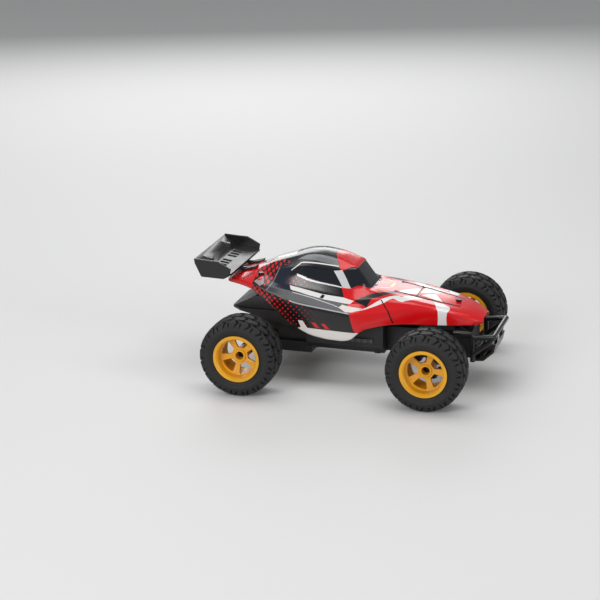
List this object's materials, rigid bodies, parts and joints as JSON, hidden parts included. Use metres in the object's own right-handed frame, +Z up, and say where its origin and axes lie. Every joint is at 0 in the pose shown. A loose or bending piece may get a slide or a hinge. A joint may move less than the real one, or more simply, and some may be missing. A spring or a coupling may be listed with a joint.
{
  "type": "rc buggy",
  "caption": "Off-road RC buggy with moulded body shell, rear wing, deep-dish wheels, geared rear drive and rack steering.",
  "frame": {"origin": "on the ground under the middle of the car, midway between the wing and the bumper", "axes": "+X forwards, +Y to the left of the car, +Z up"},
  "size_m": [0.24, 0.191, 0.0973],
  "materials": {
    "shell_paint": "glossy printed ABS",
    "black_satin": "satin",
    "black_abs": "fine moulded texture",
    "yellow_rim": "satin gloss",
    "tyre_rubber": "matte",
    "steel": "plated",
    "dark_screw": "blackened",
    "brass": "turned",
    "nylon": "moulded nylon",
    "battery_wrap": "shrink wrap",
    "circuit_green": "solder resist",
    "light_strip": "clear diffuser"
  },
  "bodies": {
    "chassis": {"axle_bushes": "brass", "battery_door": "black_abs", "battery_door_screw": "dark_screw", "battery_pack": "battery_wrap", "body_shell": "shell_paint", "chassis_cover": "black_abs", "chassis_cover_screws": "dark_screw", "chassis_tub": "black_abs", "circuit_board": "circuit_green", "drive_motor": "steel", "front_arm_screws": "dark_screw", "front_bumper": "black_satin", "front_lower_arm_left": "black_abs", "front_lower_arm_right": "black_abs", "front_tower": "black_abs", "front_tower_screws": "dark_screw", "front_upper_arm_left": "black_abs", "front_upper_arm_right": "black_abs", "gear_cover": "black_abs", "gearbox_case": "black_abs", "gearbox_screws": "dark_screw", "idler_pin": "steel", "kingpin_left": "steel", "kingpin_right": "steel", "light_strip_left": "light_strip", "light_strip_right": "light_strip", "motor_cover": "black_abs", "power_switch": "black_abs", "rear_tower": "black_abs", "rear_wing": "black_satin", "shell_screws": "dark_screw", "steering_servo": "black_abs", "wing_end_plates": "black_satin", "wing_struts": "black_satin"},
    "rear_axle": {"rear_axle": "steel", "axle_gear": "nylon", "rear_wheel_hexes": "nylon", "rear_rim_left": "yellow_rim", "rear_rim_right": "yellow_rim", "rear_tyre_left": "tyre_rubber", "rear_tyre_right": "tyre_rubber", "rear_wheel_screws": "dark_screw"},
    "idler": {"idler_gear": "nylon"},
    "motor_rotor": {"motor_shaft": "steel", "motor_pinion": "brass"},
    "knuckle_left": {"steering_knuckle_left": "black_abs", "stub_axle_left": "steel", "front_wheel_screw_left": "dark_screw"},
    "knuckle_right": {"steering_knuckle_right": "black_abs", "stub_axle_right": "steel", "front_wheel_screw_right": "dark_screw"},
    "front_wheel_left": {"front_rim_left": "yellow_rim", "front_tyre_left": "tyre_rubber"},
    "front_wheel_right": {"front_rim_right": "yellow_rim", "front_tyre_right": "tyre_rubber"},
    "rack": {"steering_rack": "black_abs"},
    "horn": {"servo_horn": "black_abs"},
    "switch_knob": {"switch_slider": "black_abs"}
  },
  "joints": [
    {"name": "rear_axle_spin", "type": "hinge", "parent": "chassis", "child": "rear_axle", "pos_m": [-0.0675, 0, 0.0305], "axis": [0, 1, 0], "continuous": true},
    {"name": "idler_spin", "type": "hinge", "parent": "chassis", "child": "idler", "pos_m": [-0.05397, 0, 0.03542], "axis": [0, 1, 0], "continuous": true},
    {"name": "motor_spin", "type": "hinge", "parent": "chassis", "child": "motor_rotor", "pos_m": [-0.04156, 0, 0.03324], "axis": [0, 1, 0], "continuous": true},
    {"name": "steer_left", "type": "hinge", "parent": "chassis", "child": "knuckle_left", "pos_m": [0.0775, 0.057, 0.0305], "axis": [0, 0, 1], "range_deg": [-25, 25]},
    {"name": "steer_right", "type": "hinge", "parent": "chassis", "child": "knuckle_right", "pos_m": [0.0775, -0.057, 0.0305], "axis": [0, 0, 1], "range_deg": [-25, 25]},
    {"name": "rack_slide", "type": "slide", "parent": "chassis", "child": "rack", "axis": [0, 1, 0], "range_m": [-0.00508, 0.00508]},
    {"name": "servo_turn", "type": "hinge", "parent": "chassis", "child": "horn", "pos_m": [0.0555, 0, 0.0305], "axis": [0, 0, 1], "range_deg": [-31, 31]},
    {"name": "front_wheel_left_spin", "type": "hinge", "parent": "knuckle_left", "child": "front_wheel_left", "pos_m": [0.0775, 0.0755, 0.0305], "axis": [0, 1, 0], "continuous": true},
    {"name": "front_wheel_right_spin", "type": "hinge", "parent": "knuckle_right", "child": "front_wheel_right", "pos_m": [0.0775, -0.0755, 0.0305], "axis": [0, 1, 0], "continuous": true},
    {"name": "switch_slide", "type": "slide", "parent": "chassis", "child": "switch_knob", "axis": [1, 0, 0], "range_m": [0, 0.003]}
  ],
  "couplings": [
    {"joint": "idler_spin", "follows": "rear_axle_spin", "ratio": -3},
    {"joint": "motor_spin", "follows": "rear_axle_spin", "ratio": 9.6},
    {"joint": "steer_right", "follows": "steer_left", "ratio": 1},
    {"joint": "rack_slide", "follows": "steer_left", "m_per_rad": -0.011623},
    {"joint": "servo_turn", "follows": "steer_left", "ratio": -1.2189}
  ]
}
